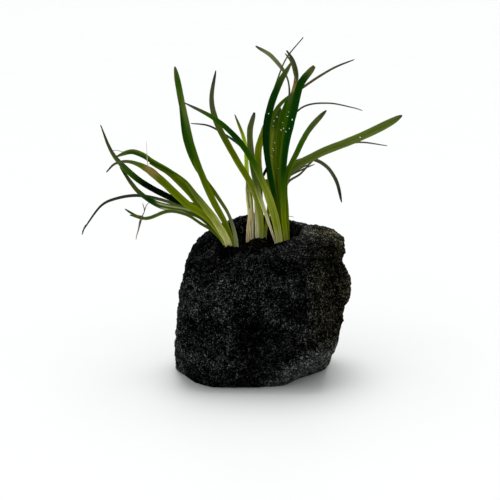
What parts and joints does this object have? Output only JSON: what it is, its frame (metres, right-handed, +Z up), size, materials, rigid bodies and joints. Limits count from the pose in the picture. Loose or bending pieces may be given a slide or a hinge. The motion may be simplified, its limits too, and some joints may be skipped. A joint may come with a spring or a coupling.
{
  "type": "dwarf mondo grass on lava rock",
  "caption": "Dwarf mondo grass with long narrow arching leaves, growing in tufts from a hollow in the top of a black porous lava rock.",
  "frame": {"origin": "in the middle of the flat face under the rock, on the surface it stands on", "axes": "+Z up, along the rock's height; the pictured front looks towards -Y; +X to the viewer's right, where the long single leaf reaches out"},
  "size_m": [0.134, 0.059, 0.1424],
  "materials": {
    "lava": "matte",
    "growing_medium": "matte",
    "crown_tissue": "matte",
    "leaf_green": "satin",
    "leaf_olive": "satin",
    "leaf_dark": "satin",
    "leaf_brown": "matte",
    "leaf_sheath": "matte"
  },
  "bodies": {
    "root": {"lava_rock": "lava", "growing_medium": "growing_medium", "crown_left": "crown_tissue", "crown_centre": "crown_tissue", "crown_right": "crown_tissue", "crown_back": "crown_tissue", "leaf_left_tall": "leaf_green", "leaf_left_second": "leaf_green", "leaf_left_arch": "leaf_green", "leaf_left_withered": "leaf_green", "leaf_left_pointed": "leaf_green", "leaf_left_lowest": "leaf_green", "leaf_centre_tall": "leaf_green", "leaf_centre_short": "leaf_green", "leaf_right_hair": "leaf_green", "leaf_right_blunt": "leaf_green", "leaf_right_back_left": "leaf_green", "leaf_right_back_right": "leaf_green", "leaf_right_long": "leaf_green", "leaf_right_thin": "leaf_green", "leaf_right_drooping": "leaf_green", "leaf_right_crossing": "leaf_olive", "leaf_centre_yellow": "leaf_olive", "leaf_centre_olive": "leaf_olive", "leaf_right_middle": "leaf_olive", "leaf_right_forward": "leaf_olive", "leaf_right_top": "leaf_olive", "leaf_left_low": "leaf_dark", "leaf_left_drooping": "leaf_dark", "leaf_left_inner_arch": "leaf_dark", "leaf_right_dark": "leaf_dark", "leaf_right_inner": "leaf_dark", "leaf_right_thin_arch": "leaf_dark", "leaf_right_small": "leaf_dark", "leaf_right_brown": "leaf_brown", "leaf_right_tan": "leaf_brown", "sheath_left": "leaf_sheath", "sheath_tan": "leaf_sheath", "sheath_pale_tall": "leaf_sheath", "sheath_pale_short": "leaf_sheath"}
  },
  "joints": []
}
